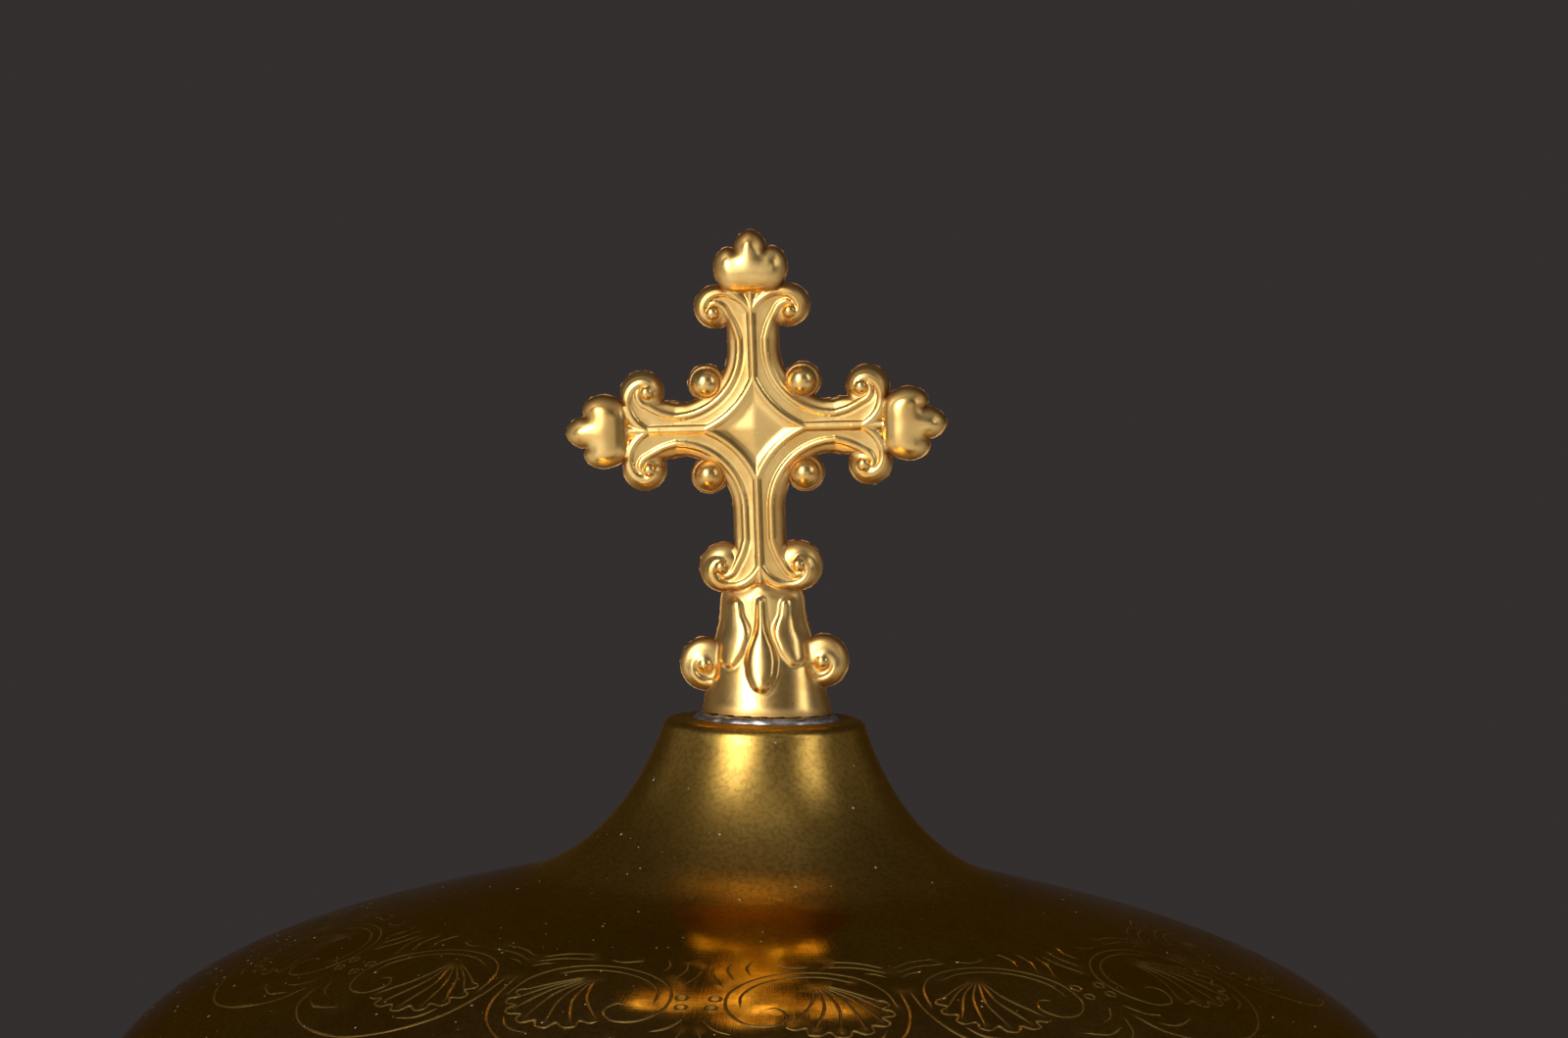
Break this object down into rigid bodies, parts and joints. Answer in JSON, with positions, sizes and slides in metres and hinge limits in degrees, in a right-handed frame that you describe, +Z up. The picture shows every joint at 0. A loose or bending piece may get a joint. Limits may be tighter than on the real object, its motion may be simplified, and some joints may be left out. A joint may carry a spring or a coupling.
{
  "type": "ciborium",
  "caption": "Lidded gilt brass ciborium: a footed cup with a knopped stem and a lift-off domed lid topped by a stamped scroll cross.",
  "frame": {"origin": "middle of the foot's flat base", "axes": "+Z up along the stem, -Y out of the cross's front face, +X to its right seen from the front"},
  "size_m": [0.1282, 0.1282, 0.2823],
  "materials": {
    "gilt": "satin gilt, finely scratched",
    "gilt_bright": "bright gilt, darker in its hollows",
    "bare_brass": "bare turned brass",
    "solder": "dull grey solder"
  },
  "bodies": {
    "cup": {"foot_rim": "gilt", "foot_shell": "gilt", "lower_collar": "gilt", "lower_stem": "gilt", "knop_lower_half": "gilt", "knop_girdle": "gilt_bright", "knop_upper_half": "gilt", "upper_stem": "gilt", "upper_collar": "gilt", "bowl_socket": "gilt", "bowl": "gilt", "foot_washer": "bare_brass", "foot_nut": "bare_brass", "tie_rod": "bare_brass"},
    "lid": {"lid_rim": "gilt", "lid_bezel": "gilt", "lid_shell": "gilt", "cross_solder": "solder", "cross_washer": "bare_brass", "cross_nut": "bare_brass", "cross_stud": "bare_brass", "cross_front": "gilt_bright", "cross_back": "gilt_bright"}
  },
  "joints": [
    {"name": "lid_lift", "type": "slide", "parent": "cup", "child": "lid", "axis": [0, 0, 1], "range_m": [0, 0.08]}
  ]
}
